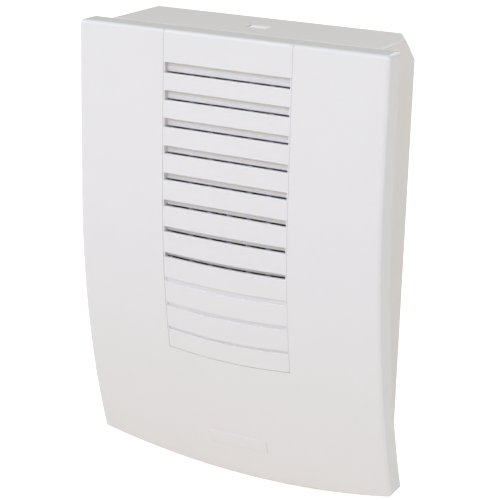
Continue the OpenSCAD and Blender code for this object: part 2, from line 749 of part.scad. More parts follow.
// Terminal block on the tray's floor, with two brass clamps and their screws
module terminal_block() color("ivory") translate([0, -floor_t, term_z]) difference() {
    block(span(0, term_w / 2), [0, term_d], span(0, term_h / 2));
    for (s = [-1, 1]) translate([s * term_pitch / 2, -clamp_depth, 0]) {
        translate([0, 0, -term_h]) cylinder(d = clamp_bore + 2 * clamp_wall + 2 * post_gap, h = 2 * term_h);
        rod_y(term_well, term_d);
    }
    translate([0, eps, 0]) rod_y(small_screw_d + 2 * post_gap, term_d + 2 * eps);
    translate([0, -term_d / 2, 0]) rod_y(small_head_d + 2 * head_gap, term_d);
}
module terminal_clamps() color("goldenrod") for (s = [-1, 1])
    translate([s * term_pitch / 2, -floor_t - clamp_depth, term_z]) difference() {
        translate([0, 0, clamp_inset - term_h / 2])
            cylinder(d = clamp_bore + 2 * clamp_wall, h = term_h - 2 * clamp_inset);
        translate([0, 0, -term_h]) cylinder(d = clamp_bore, h = 2 * term_h);
        rod_y(term_screw_d + 2 * post_gap, term_d);
    }
module terminal_screws() color("gold") for (s = [-1, 1])
    translate([s * term_pitch / 2, -floor_t - clamp_depth - lead_d / 2 - post_gap, term_z]) difference() {
        union() {
            rod_y(term_screw_d, term_screw_l);
            translate([0, -term_screw_l, 0]) rod_y(term_head_d, term_head_t);
        }
        translate([0, -term_screw_l - term_head_t, 0])
            cube([2 * term_head_d, term_head_t, term_slot_w], center = true);
    }
module terminal_fixing() color("gainsboro") translate([0, -floor_t - term_d / 2, term_z])
    small_screw(term_d / 2 + floor_t / 2 - screw_tip_gap);

// Bar that holds the bell wire down beside its entry, and its screws
module on_clamp_bosses(lift) translate([cable_x, -floor_t - clip_boss_h - lift, clip_bar_z]) children();
module cable_clamp() color("whitesmoke") on_clamp_bosses(0) difference() {
    block(span(0, clip_bar_l / 2), [0, clip_bar_t], span(0, clip_bar_w / 2));
    for (s = [-1, 1]) translate([s * clip_bar_pitch / 2, eps, 0])
        rod_y(small_screw_d + 2 * post_gap, clip_bar_t + 2 * eps);
    translate([0, wire_groove_off, -clip_bar_w]) cylinder(d = wire_groove_d, h = 2 * clip_bar_w);
}
module cable_clamp_screws() color("gainsboro") on_clamp_bosses(clip_bar_t) for (s = [-1, 1])
    translate([s * clip_bar_pitch / 2, 0, 0])
        small_screw(clip_bar_t + clip_boss_h + floor_t / 2 - screw_tip_gap);

// Rubber grommet in the cable entry, with its rear lip sunk in the tray's back
module cable_grommet() color("gray") translate([cable_x, 0, cable_z]) {
    web = floor_t + entry_pad_t - recess_t;
    difference() {
        union() {
            translate([0, lip_t - recess_t, 0]) rod_y(lip_d, lip_t);
            translate([0, eps - recess_t, 0]) rod_y(entry_d - 2 * post_gap, web + 2 * eps);
            translate([0, -recess_t - web, 0]) rod_y(lip_d, lip_t);
        }
        translate([0, eps, 0]) rod_y(cable_d, case_d);
    }
}

base_housing();
front_cover();
grille_panel();
latch_tongue();
tone_bar_left();
tone_bar_right();
bar_grommets();
bar_caps();
solenoid_yoke();
yoke_screws();
coil_bobbin();
coil_winding();
coil_tape();
plunger_core();
striker_left();
striker_right();
spring_clip();
return_spring();
terminal_block();
terminal_clamps();
terminal_screws();
terminal_fixing();
coil_lead_left();
coil_lead_right();
cable_clamp();
cable_clamp_screws();
cable_grommet();
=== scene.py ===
import math

import bmesh
import bpy
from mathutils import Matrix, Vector


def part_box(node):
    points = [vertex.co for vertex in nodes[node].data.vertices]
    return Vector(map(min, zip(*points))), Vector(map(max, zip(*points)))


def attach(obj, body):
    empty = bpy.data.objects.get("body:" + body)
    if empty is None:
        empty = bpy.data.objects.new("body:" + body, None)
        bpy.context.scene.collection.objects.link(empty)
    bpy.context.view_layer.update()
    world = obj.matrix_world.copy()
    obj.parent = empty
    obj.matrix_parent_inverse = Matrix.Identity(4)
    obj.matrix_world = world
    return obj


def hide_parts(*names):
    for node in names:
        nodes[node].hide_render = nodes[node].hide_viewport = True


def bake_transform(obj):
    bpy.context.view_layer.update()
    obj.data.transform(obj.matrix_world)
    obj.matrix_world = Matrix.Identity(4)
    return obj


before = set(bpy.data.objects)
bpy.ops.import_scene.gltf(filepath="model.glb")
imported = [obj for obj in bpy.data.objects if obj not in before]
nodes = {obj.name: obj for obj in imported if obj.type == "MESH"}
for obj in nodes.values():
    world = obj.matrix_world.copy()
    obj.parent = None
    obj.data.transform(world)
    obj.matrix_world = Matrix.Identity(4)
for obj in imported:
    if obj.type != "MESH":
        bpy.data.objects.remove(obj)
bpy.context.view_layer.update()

mm = 0.001
foldAngle = 35.0        # degrees, from which an edge counts as a fold


# Small helpers for node trees

def addNode(tree, kind, inputs=None, **settings):
    node = tree.nodes.new(kind)
    for name, value in settings.items():
        setattr(node, name, value)
    for key, value in (inputs or {}).items():
        if isinstance(value, bpy.types.NodeSocket):
            tree.links.new(value, node.inputs[key])
        else:
            node.inputs[key].default_value = value
    return node


def calc(tree, operation, *values):
    return addNode(tree, "ShaderNodeMath", dict(enumerate(values)), operation=operation).outputs[0]


def joinXyz(tree, x, y, z):
    return addNode(tree, "ShaderNodeCombineXYZ", {0: x, 1: y, 2: z}).outputs[0]


def mixColours(tree, share, first, second):
    return addNode(tree, "ShaderNodeMix", {0: share, 6: first, 7: second}, data_type="RGBA").outputs[2]


def newTree(name, kind, inputs, outputs):
    tree = bpy.data.node_groups.new(name, kind)
    for label, (socketType, value) in inputs.items():
        socket = tree.interface.new_socket(label, in_out="INPUT", socket_type="NodeSocket" + socketType)
        if value is not None:
            socket.default_value = value
    for label, socketType in outputs.items():
        tree.interface.new_socket(label, in_out="OUTPUT", socket_type="NodeSocket" + socketType)
    return tree, tree.nodes.new("NodeGroupInput").outputs, tree.nodes.new("NodeGroupOutput").inputs


def newShapeTree(name, inputs):
    return newTree(name, "GeometryNodeTree", {**inputs, "Material": ("Material", None)},
                   {"Geometry": "Geometry"})


def endShapeTree(tree, shape, given, made):
    real = addNode(tree, "GeometryNodeRealizeInstances", {0: shape})
    done = addNode(tree, "GeometryNodeSetMaterial", {"Geometry": real.outputs[0],
                                                     "Material": given["Material"]})
    tree.links.new(done.outputs[0], made["Geometry"])
    return tree


def sweepWire(tree, curve, radius, sides):
    section = addNode(tree, "GeometryNodeCurvePrimitiveCircle", {"Resolution": sides, "Radius": radius})
    wire = addNode(tree, "GeometryNodeCurveToMesh", {"Curve": curve, "Profile Curve": section.outputs[0],
                                                     "Fill Caps": True})
    return wire.outputs[0]


# Small helpers for pieces, which are drawn in millimetres

def lerp(a, b, share):
    return a + (b - a) * share


def packedBox(nodeName):
    return [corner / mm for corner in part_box(nodeName)]


def meshPiece(name, points=(), faces=(), edges=()):
    mesh = bpy.data.meshes.new(name)
    mesh.from_pydata([(x * mm, y * mm, z * mm) for x, y, z in points], edges, faces)
    piece = bpy.data.objects.new(name, mesh)
    bpy.context.collection.objects.link(piece)
    return piece


def bakeModifiers(piece, sharpAngle=None):
    bpy.context.view_layer.update()
    graph = bpy.context.evaluated_depsgraph_get()
    plain = bpy.data.meshes.new_from_object(piece.evaluated_get(graph), preserve_all_data_layers=True,
                                            depsgraph=graph)
    plain.name = piece.name
    piece.modifiers.clear()
    piece.data = plain
    plain.polygons.foreach_set("use_smooth", [True] * len(plain.polygons))
    if sharpAngle:
        plain.set_sharp_from_angle(angle=math.radians(sharpAngle))
    return piece


def roundEdges(piece, width, segments, byWeight=False, angle=foldAngle):
    bevel = piece.modifiers.new("roundEdges", "BEVEL")
    bevel.width = width * mm
    bevel.segments = segments
    bevel.limit_method = "WEIGHT" if byWeight else "ANGLE"
    bevel.angle_limit = math.radians(angle)
    bevel.use_clamp_overlap = False
    evened = piece.modifiers.new("evenedNormals", "WEIGHTED_NORMAL")
    evened.keep_sharp = True
    piece.data.polygons.foreach_set("use_smooth", [True] * len(piece.data.polygons))
    return bakeModifiers(piece)


def weighEdges(piece, weightOf):
    solid = bmesh.new()
    solid.from_mesh(piece.data)
    weightLayer = solid.edges.layers.float.new("bevel_weight_edge")
    for edge in solid.edges:
        edge[weightLayer] = weightOf(edge)
    solid.to_mesh(piece.data)
    solid.free()


def faceOutwards(piece):
    solid = bmesh.new()
    solid.from_mesh(piece.data)
    bmesh.ops.recalc_face_normals(solid, faces=solid.faces)
    solid.to_mesh(piece.data)
    solid.free()
    return piece


def growTree(name, tree, values, points=(), edges=()):
    piece = meshPiece(name, points, edges=edges)
    modifier = piece.modifiers.new(name, "NODES")
    modifier.node_group = tree
    for item in tree.interface.items_tree:
        if item.in_out == "INPUT" and item.name in values:
            modifier[item.identifier] = values[item.name]
    return bakeModifiers(piece, foldAngle)


def joinPieces(name, first, *others):
    bpy.ops.object.select_all(action="DESELECT")
    for piece in (first, *others):
        piece.select_set(True)
    bpy.context.view_layer.objects.active = first
    bpy.ops.object.join()
    first.name = name
    first.data.name = name
    return first


def finishPiece(piece, body, slot, material, *replaced):
    piece.data.materials.clear()
    piece.data.materials.append(material)
    if body:
        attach(piece, body)
    if replaced:
        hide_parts(*replaced)
    return piece


# Finishes: one group for moulded surfaces, one for drawn or turned metal

patternShape = {
    "mottleDetail": 4.0,
    "mottleRough": 0.6,
    "mottleShare": 0.75,        # of a moulded surface's pattern, the rest is grain
    "grainDetail": 2.0,
    "streakDetail": 3.0,
    "streakShare": 0.6,         # of a metal surface's pattern, the rest is stain
    "stainScale": 90.0,
    "stainDetail": 5.0,
    "roughRange": (0.3, 0.7),   # stretch of the pattern over which the roughness changes
    "bumpDepth": 0.1,           # millimetres
}


def noise(tree, place, scale, detail, **more):
    inputs = {"Vector": place, "Scale": scale, "Detail": detail, **more}
    return addNode(tree, "ShaderNodeTexNoise", inputs).outputs[0]


def addShares(tree, first, second, share):
    return calc(tree, "ADD", calc(tree, "MULTIPLY", first, share), calc(tree, "MULTIPLY", second, 1 - share))


def mouldedPattern(tree, given, place):
    mottle = noise(tree, place, given["Mottle Scale"], patternShape["mottleDetail"],
                   Roughness=patternShape["mottleRough"])
    grain = noise(tree, place, given["Grain Scale"], patternShape["grainDetail"])
    return addShares(tree, mottle, grain, patternShape["mottleShare"]), grain


def drawnPattern(tree, given, place):
    drawn = addNode(tree, "ShaderNodeVectorMath", {0: place, 1: given["Streak Scale"]}, operation="MULTIPLY")
    streak = noise(tree, drawn.outputs[0], 1.0, patternShape["streakDetail"])
    stain = noise(tree, place, patternShape["stainScale"], patternShape["stainDetail"])
    return addShares(tree, streak, stain, patternShape["streakShare"]), streak


def finishGroup(name, scales, makePattern):
    tree, given, made = newTree(name, "ShaderNodeTree", {
        "Colour": ("Color", (0.8, 0.8, 0.8, 1)), "Shade": ("Color", (0.7, 0.7, 0.7, 1)), **scales,
        "Low Rough": ("Float", 0.4), "High Rough": ("Float", 0.5)},
        {"Colour": "Color", "Roughness": "Float", "Height": "Float"})
    place = addNode(tree, "ShaderNodeTexCoord").outputs["Object"]
    pattern, height = makePattern(tree, given, place)
    low, high = patternShape["roughRange"]
    rough = addNode(tree, "ShaderNodeMapRange", {0: pattern, 1: low, 2: high, 3: given["Low Rough"],
                                                 4: given["High Rough"]})
    tree.links.new(mixColours(tree, pattern, given["Colour"], given["Shade"]), made["Colour"])
    tree.links.new(rough.outputs[0], made["Roughness"])
    tree.links.new(height, made["Height"])
    return tree


mouldedSkin = finishGroup("mouldedSkin", {"Mottle Scale": ("Float", 30.0), "Grain Scale": ("Float", 3000.0)},
                          mouldedPattern)
drawnMetal = finishGroup("drawnMetal", {"Streak Scale": ("Vector", (60.0, 2500.0, 2500.0))}, drawnPattern)


def surfaceMaterial(name, group, colour, shade, rough, scales, bump, shader):
    material = bpy.data.materials.new(name)
    material.use_nodes = True
    tree = material.node_tree
    surface = tree.nodes["Principled BSDF"]
    effect = addNode(tree, "ShaderNodeGroup", node_tree=group)
    look = {"Colour": (*colour, 1), "Shade": (*shade, 1), "Low Rough": rough[0], "High Rough": rough[1]}
    for label, value in {**look, **scales}.items():
        effect.inputs[label].default_value = value
    bumps = addNode(tree, "ShaderNodeBump", {"Strength": bump, "Distance": patternShape["bumpDepth"] * mm,
                                             "Height": effect.outputs["Height"]})
    tree.links.new(effect.outputs["Colour"], surface.inputs["Base Color"])
    tree.links.new(effect.outputs["Roughness"], surface.inputs["Roughness"])
    tree.links.new(bumps.outputs[0], surface.inputs["Normal"])
    for label, value in shader.items():
        surface.inputs[label.replace("_", " ")].default_value = value
    return material


def plastic(name, colour, shade, rough, grain=3000.0, mottle=30.0, bump=0.05, **shader):
    scales = {"Mottle Scale": mottle, "Grain Scale": grain}
    return surfaceMaterial(name, mouldedSkin, colour, shade, rough, scales, bump, shader)


def metal(name, colour, shade, rough, streak, bump=0.06, **shader):
    return surfaceMaterial(name, drawnMetal, colour, shade, rough, {"Streak Scale": streak}, bump,
                           {"Metallic": 1.0, **shader})


alongX = (60.0, 2500.0, 2500.0)
alongY = (2500.0, 60.0, 2500.0)
alongZ = (2500.0, 2500.0, 60.0)
finishes = {material.name: material for material in (
    # name, colour, shade of its pattern, lowest and highest roughness, then what differs
    plastic("coverWhite", (0.83, 0.83, 0.83), (0.80, 0.80, 0.795), (0.23, 0.27)),
    plastic("panelWhite", (0.83, 0.83, 0.83), (0.80, 0.80, 0.795), (0.23, 0.27)),
    # trayWhite is the cover's white plastic; its warmer, less blue tint is painted warm light on the tray's
    # top and sides
    plastic("trayWhite", (0.832, 0.813, 0.79), (0.802, 0.781, 0.752), (0.45, 0.55)),
    metal("barSteel", (0.68, 0.69, 0.71), (0.50, 0.51, 0.53), (0.22, 0.38), alongZ),
    plastic("softRubber", (0.035, 0.035, 0.037), (0.06, 0.06, 0.06), (0.6, 0.8), grain=1800.0),
    plastic("capNylon", (0.80, 0.79, 0.75), (0.74, 0.72, 0.67), (0.35, 0.5)),
    metal("zincSteel", (0.62, 0.64, 0.66), (0.46, 0.48, 0.50), (0.3, 0.5), alongX),
    metal("screwSteel", (0.70, 0.70, 0.69), (0.50, 0.50, 0.49), (0.25, 0.42), alongY),
    plastic("bobbinPlastic", (0.70, 0.64, 0.46), (0.62, 0.56, 0.40), (0.35, 0.5)),
    metal("copperWire", (0.62, 0.26, 0.10), (0.42, 0.15, 0.06), (0.22, 0.36), alongY,
          Coat_Weight=0.6, Coat_Roughness=0.15),
    plastic("coilTape", (0.62, 0.42, 0.06), (0.50, 0.32, 0.04), (0.18, 0.3), grain=900.0, mottle=120.0),
    metal("coreSteel", (0.52, 0.53, 0.55), (0.36, 0.37, 0.39), (0.25, 0.4), alongX),
    plastic("strikerNylon", (0.84, 0.81, 0.72), (0.78, 0.74, 0.64), (0.35, 0.5)),
    metal("springSteel", (0.66, 0.66, 0.67), (0.45, 0.45, 0.47), (0.2, 0.35), alongY),
    plastic("terminalPlastic", (0.80, 0.79, 0.74), (0.74, 0.72, 0.66), (0.3, 0.45)),
    metal("clampBrass", (0.72, 0.53, 0.22), (0.52, 0.36, 0.13), (0.2, 0.38), alongZ),
    plastic("leadRed", (0.42, 0.02, 0.015), (0.34, 0.015, 0.012), (0.25, 0.38), grain=2000.0),
    plastic("leadBlack", (0.015, 0.015, 0.016), (0.03, 0.03, 0.03), (0.25, 0.4), grain=2000.0),
)}
print("finishes made:", len(finishes))


# Shape of the case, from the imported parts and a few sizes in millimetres

caseShape = {
    "topWidth": 110.0,      # width of the cover at its top
    "flare": 1.7,           # how much further out each side stands at the bottom
    "flatHeight": 52.3,     # flat part of the front, from the top
    "frontRadius": 300.0,   # radius of the front below that
    "bottomBow": 6.7,       # how far the bottom edge bows down
    "windowWidth": 46.0,    # window of the louvred panel
    "windowHeight": 110.0,
    "windowBow": 1.5,
    "flangeWidth": 3.6,     # flange of the panel behind the window's edge
    "wall": 2.2,
    "rimDepth": 8.5,
    "trayWall": 2.0,
}
coverLow, coverHigh = packedBox("front_cover")
trayLow, trayHigh = packedBox("base_housing")
topZ, lowZ, caseDepth = coverHigh.z, coverLow.z, -coverLow.y
arcZ = topZ - caseShape["flatHeight"]
windowHalf = caseShape["windowWidth"] / 2
windowLow = topZ - caseShape["windowHeight"]
bowRadius = ((caseShape["topWidth"] / 2) ** 2 + caseShape["bottomBow"] ** 2) / (2 * caseShape["bottomBow"])


def frontY(z):
    radius = caseShape["frontRadius"]
    below = max(0.0, arcZ - z)
    return radius - math.sqrt(radius * radius - below * below) - caseDepth


def halfWidth(z):
    share = max(0.0, arcZ - z) / (arcZ - lowZ)
    return caseShape["topWidth"] / 2 + caseShape["flare"] * share


def bottomZ(x, inset):
    return lowZ + bowRadius - math.sqrt((bowRadius - inset) ** 2 - x * x)


def windowZ(x):
    return windowLow - caseShape["windowBow"] * max(0.0, 1 - (x / windowHalf) ** 2)


# Block between two X and two Z places, whose front and back follow the curve of the front

def curvedBlock(name, xs, zs, depths, columns, rows):
    points, faces, place = [], [], {}

    def corner(c, r, depth):
        if (c, r, depth) not in place:
            z = lerp(*zs, r / rows)
            place[c, r, depth] = len(points)
            points.append((lerp(*xs, c / columns), frontY(z) + depth, z))
        return place[c, r, depth]

    cells = [(c, r) for c in range(columns) for r in range(rows)]
    for depth in depths:
        faces += [[corner(c, r, depth), corner(c + 1, r, depth), corner(c + 1, r + 1, depth),
                   corner(c, r + 1, depth)] for c, r in cells]
    ring = ([(c, 0) for c in range(columns)] + [(columns, r) for r in range(rows)]
            + [(c, rows) for c in range(columns, 0, -1)] + [(0, r) for r in range(rows, 0, -1)])
    front, back = depths
    for a, b in zip(ring, ring[1:] + ring[:1]):
        faces.append([corner(*a, front), corner(*b, front), corner(*b, back), corner(*a, back)])
    return faceOutwards(meshPiece(name, points, faces))


# Cover: one moulding with a turned-back rim, a window that is open at the top, and rounded edges

coverShape = {
    "sideColumns": 8,       # grid of the front on each side of the window
    "windowColumns": 18,    # grid below the window
    "upperRows": 40,
    "lowerRows": 16,
    "edgeRound": 1.5,       # rounding in millimetres, of which each edge has a share
    "roundTop": 1.0,
    "roundSide": 0.7,
    "roundBottom": 0.6,
    "roundCorner": 0.9,
    "roundRear": 0.25,
    "roundWindow": 0.07,
    "segments": 5,
}


def coverPoint(column, row, inset):
    side, middle = coverShape["sideColumns"], coverShape["windowColumns"]
    upper, lower = coverShape["upperRows"], coverShape["lowerRows"]
    if row <= upper:
        zSide = lerp(topZ - inset, windowLow, row / upper)
    else:
        cornerX = halfWidth(bottomZ(caseShape["topWidth"] / 2, inset)) - inset
        zSide = lerp(windowLow, bottomZ(cornerX, inset), (row - upper) / lower)
    half = halfWidth(zSide) - inset
    if column <= side:
        x = lerp(-half, -windowHalf, column / side)
    elif column < side + middle:
        x = lerp(-windowHalf, windowHalf, (column - side) / middle)
    else:
        x = lerp(windowHalf, half, (column - side - middle) / side)
    if row < upper:
        return x, zSide
    return x, lerp(windowZ(x), bottomZ(x, inset), (row - upper) / lower)


def makeCoverShell():
    side, middle = coverShape["sideColumns"], coverShape["windowColumns"]
    upper = coverShape["upperRows"]
    lastColumn, lastRow = 2 * side + middle, upper + coverShape["lowerRows"]
    edgeL, edgeR = side, side + middle
    rim, wall = caseShape["rimDepth"], caseShape["wall"]
    layers = {"front": (0.0, 0.0), "rear": (0.0, rim), "lip": (wall, rim), "back": (wall, wall)}
    points, place = [], {}

    def corner(layer, key):
        if (layer, key) not in place:
            inset, depth = layers[layer]
            x, z = coverPoint(*key, inset)
            place[layer, key] = len(points)
            points.append((x, frontY(z) + depth, z))
        return place[layer, key]

    outline = ([(c, 0) for c in range(edgeL, 0, -1)] + [(0, r) for r in range(lastRow)]
               + [(c, lastRow) for c in range(lastColumn)] + [(lastColumn, r) for r in range(lastRow, 0, -1)]
               + [(c, 0) for c in range(lastColumn, edgeR - 1, -1)])
    window = ([(edgeL, r) for r in range(upper)] + [(c, upper) for c in range(edgeL, edgeR)]
              + [(edgeR, r) for r in range(upper, -1, -1)])
    faces = []
    for c in range(lastColumn):
        for r in range(upper if edgeL <= c < edgeR else 0, lastRow):
            cell = [(c, r), (c + 1, r), (c + 1, r + 1), (c, r + 1)]
            faces += [[corner(layer, key) for key in cell] for layer in ("front", "back")]
    for a, b in zip(outline, outline[1:]):
        for one, two in (("front", "rear"), ("rear", "lip"), ("lip", "back")):
            faces.append([corner(one, a), corner(one, b), corner(two, b), corner(two, a)])
    for a, b in zip(window, window[1:]):
        faces.append([corner("front", a), corner("front", b), corner("back", b), corner("back", a)])
    for key in (outline[0], outline[-1]):
        faces.append([corner(layer, key) for layer in layers])

    # share of the rounding that each edge gets
    weights = {}

    def weigh(layerA, keyA, layerB, keyB, share):
        weights[frozenset((corner(layerA, keyA), corner(layerB, keyB)))] = coverShape[share]

    rowShares = {0: "roundTop", lastRow: "roundBottom"}
    for a, b in zip(outline, outline[1:]):
        weigh("front", a, "front", b, rowShares.get(a[1], "roundSide") if a[1] == b[1] else "roundSide")
        weigh("rear", a, "rear", b, "roundRear")
        weigh("lip", a, "lip", b, "roundRear")
    for a, b in zip(window, window[1:]):
        weigh("front", a, "front", b, "roundWindow")
    for key in ((0, 0), (lastColumn, 0), (0, lastRow), (lastColumn, lastRow)):
        weigh("front", key, "rear", key, "roundCorner")
    for key in (outline[0], outline[-1]):
        weigh("front", key, "rear", key, "roundWindow")

    shell = faceOutwards(meshPiece("coverShell", points, faces))
    weighEdges(shell, lambda edge: weights.get(frozenset(v.index for v in edge.verts), 0.0))
    return roundEdges(shell, coverShape["edgeRound"], coverShape["segments"], byWeight=True)


# Ribs beside the tray and a web below it, on the inside of the cover

insideShape = {
    "ribCount": 4,
    "ribThick": 1.5,
    "ribInset": 19.5,       # from the tray's upper and lower end
    "ribShort": 1.0,        # how far the ribs end before the rim does
    "sideGap": 0.25,        # between ribs and tray
    "webGap": 0.4,          # between web and tray
    "webColumns": 12,
    "sunk": 0.4,            # how deep ribs and studs stand in the wall
    "edgeRound": 0.2,
    "segments": 2,
}


def makeCoverInside():
    shape = insideShape
    thick, count = shape["ribThick"], shape["ribCount"]
    sink = caseShape["wall"] - shape["sunk"]
    depths = (sink, caseShape["rimDepth"] - shape["ribShort"])
    span = trayHigh.z - trayLow.z - 2 * shape["ribInset"]
    made = []
    for i in range(count):
        z = -span / 2 + span * i / (count - 1)
        for sign in (-1, 1):
            xs = sorted((sign * (trayHigh.x + shape["sideGap"]), sign * (halfWidth(z) - sink)))
            made.append(curvedBlock("coverRib", xs, (z - thick / 2, z + thick / 2), depths, 1, 1))
    webTop = trayLow.z - shape["webGap"]
    reach = halfWidth(webTop) - sink
    made.append(curvedBlock("coverWeb", (-reach, reach), (webTop - thick, webTop), depths,
                            shape["webColumns"], 1))
    return roundEdges(joinPieces("coverInside", *made), shape["edgeRound"], shape["segments"])


# Plain raised pad low on the front

padShape = {
    "length": 22.0,
    "height": 5.0,
    "rise": 15.4,           # from the lowest point of the cover to the middle of the pad
    "proud": 0.25,
    "columns": 10,
    "rows": 4,
    "edgeRound": 0.2,
    "segments": 3,
}


def makePad():
    shape = padShape
    middle = lowZ + shape["rise"]
    pad = curvedBlock("coverPad", (-shape["length"] / 2, shape["length"] / 2),
                      (middle - shape["height"] / 2, middle + shape["height"] / 2),
                      (-shape["proud"], caseShape["wall"] / 2), shape["columns"], shape["rows"])
    return roundEdges(pad, shape["edgeRound"], shape["segments"])


# Pegs and stakes: one turned stud on each point, standing along +Y

studShape = {
    "pegRadius": 2.0,
    "pegHead": 1.6,         # radius of the narrow tip
    "pegHeadLength": 1.2,
    "pegIn": 13.0,          # from the tray's inner side
    "pegUp": 5.75,          # from the tray's inner foot
    "pegEnd": -7.5,         # Y of the tip
    "stakeRadius": 1.0,
    "stakeHead": 1.6,       # radius of the flattened head
    "stakeHeadLength": 0.8,
    "stakeLength": 2.5,
    "stakeRows": 4,
    "stakeFirst": 10.0,     # from the top of the cover
    "sides": 32,
}


def studTreeMaker():
    tree, given, made = newShapeTree("coverStuds", {
        "Geometry": ("Geometry", None), "Radius": ("Float", 0.001), "Length": ("Float", 0.002),
        "Head Radius": ("Float", 0.001), "Head Length": ("Float", 0.0005), "Sides": ("Int", 32)})

    def rod(radius, length, end):
        turned = addNode(tree, "GeometryNodeMeshCylinder", {"Vertices": given["Sides"], "Radius": radius,
                                                            "Depth": length})
        middle = calc(tree, "SUBTRACT", end, calc(tree, "MULTIPLY", length, 0.5))
        return addNode(tree, "GeometryNodeTransform", {
            "Geometry": turned.outputs["Mesh"], "Translation": joinXyz(tree, 0.0, middle, 0.0),
            "Rotation": (-math.pi / 2, 0.0, 0.0)}).outputs[0]

    # the shank ends halfway into the head, so that no two faces coincide
    shank = calc(tree, "SUBTRACT", given["Length"], calc(tree, "MULTIPLY", given["Head Length"], 0.5))
    stud = addNode(tree, "GeometryNodeJoinGeometry")
    for part in (rod(given["Radius"], shank, shank),
                 rod(given["Head Radius"], given["Head Length"], given["Length"])):
        tree.links.new(part, stud.inputs[0])
    placed = addNode(tree, "GeometryNodeInstanceOnPoints", {"Points": given["Geometry"],
                                                            "Instance": stud.outputs[0]})
    return endShapeTree(tree, placed.outputs[0], given, made)


def makeStuds(material):
    shape, tree = studShape, studTreeMaker()
    sink = caseShape["wall"] - insideShape["sunk"]

    def grow(name, kind, feet, length):
        sizes = {"Radius": shape[kind + "Radius"], "Length": length, "Head Radius": shape[kind + "Head"],
                 "Head Length": shape[kind + "HeadLength"]}
        values = {label: size * mm for label, size in sizes.items()}
        return growTree(name, tree, {**values, "Sides": shape["sides"], "Material": material}, feet)

    pegX = trayHigh.x - caseShape["trayWall"] - shape["pegIn"]
    pegZ = trayLow.z + caseShape["trayWall"] + shape["pegUp"]
    pegY = frontY(pegZ) + sink
    stakeX = windowHalf + caseShape["flangeWidth"] / 2
    span = caseShape["windowHeight"] - 2 * shape["stakeFirst"] + caseShape["windowBow"]
    pitch = span / (shape["stakeRows"] - 1)
    heights = [topZ - shape["stakeFirst"] - pitch * i for i in range(shape["stakeRows"])]
    return (grow("coverPegs", "peg", [(-pegX, pegY, pegZ), (pegX, pegY, pegZ)], shape["pegEnd"] - pegY),
            grow("coverStakes", "stake", [(sign * stakeX, frontY(z) + sink, z)
                                          for sign in (-1, 1) for z in heights],
                 shape["stakeLength"] + insideShape["sunk"]))


coverShell = joinPieces("coverShell", makeCoverShell(), makeCoverInside(), makePad())
finishPiece(coverShell, "cover", "cover_plastic", finishes["coverWhite"], "front_cover")
for stud in makeStuds(finishes["coverWhite"]):
    finishPiece(stud, "cover", "cover_plastic", finishes["coverWhite"])
print("cover made:", len(coverShell.data.polygons), "faces")


# Louvred panel: bars laid out by slot number, then bent to the bow of the slots and the curve of the front

panelShape = {
    "slotFirst": 14.05,     # from the top to the first slat's upper edge
    "slotPitch": 8.89,
    "openSlots": 8,
    "blindGrooves": 3,
    "gapFirst": 3.5,        # height of the first slot, and how much less each further one is
    "gapStep": 0.26,
    "slotDepth": 1.9,
    "slotEnd": 0.6,         # wall at each end of a slot
    "grooveDepth": 0.6,
    "straightSlots": 6,
    "bowStep": 0.31,
    "slatThick": 1.4,
    "panelThick": 4.7,
    "pocketHeight": 2.9,    # way through behind each slat
    "slitLift": 0.2,
    "ribWidth": 1.8,
    "ribPitch": 7.2,
    "ribCount": 5,
    "ribDrop": 1.0,         # ribs are this much lower in front of ribBack
    "ribBack": 3.6,
    "railWidth": 1.5,
    "sideGap": 0.03,
    "footGap": 0.1,
    "overlap": 0.1,
    "step": 0.03,           # small step between joined bars, so that no two faces coincide
    "flangeDepth": 2.3,
    "flangeThick": 1.5,
    "edgeRound": 0.2,
    "segments": 2,
    "columns": 25,          # grid of each bar, across and upwards
    "slatRows": 6,
    "blockRows": 4,
    "stripRows": 3,
    "blindRows": 5,
    "backingRows": 16,
    "edgeRows": 40,         # grid of the slots' end walls and of the flange
    "flangeColumns": 2,
    "footColumns": 6,
    "footRows": 4,
}
panelHalf = windowHalf - panelShape["sideGap"]
panelFoot = windowLow + panelShape["footGap"]
behindSlat = panelShape["slatThick"] - panelShape["overlap"]


def slatZ(i):
    return topZ - panelShape["slotFirst"] - panelShape["slotPitch"] * i


def slotGap(i):
    return panelShape["gapFirst"] - panelShape["gapStep"] * i


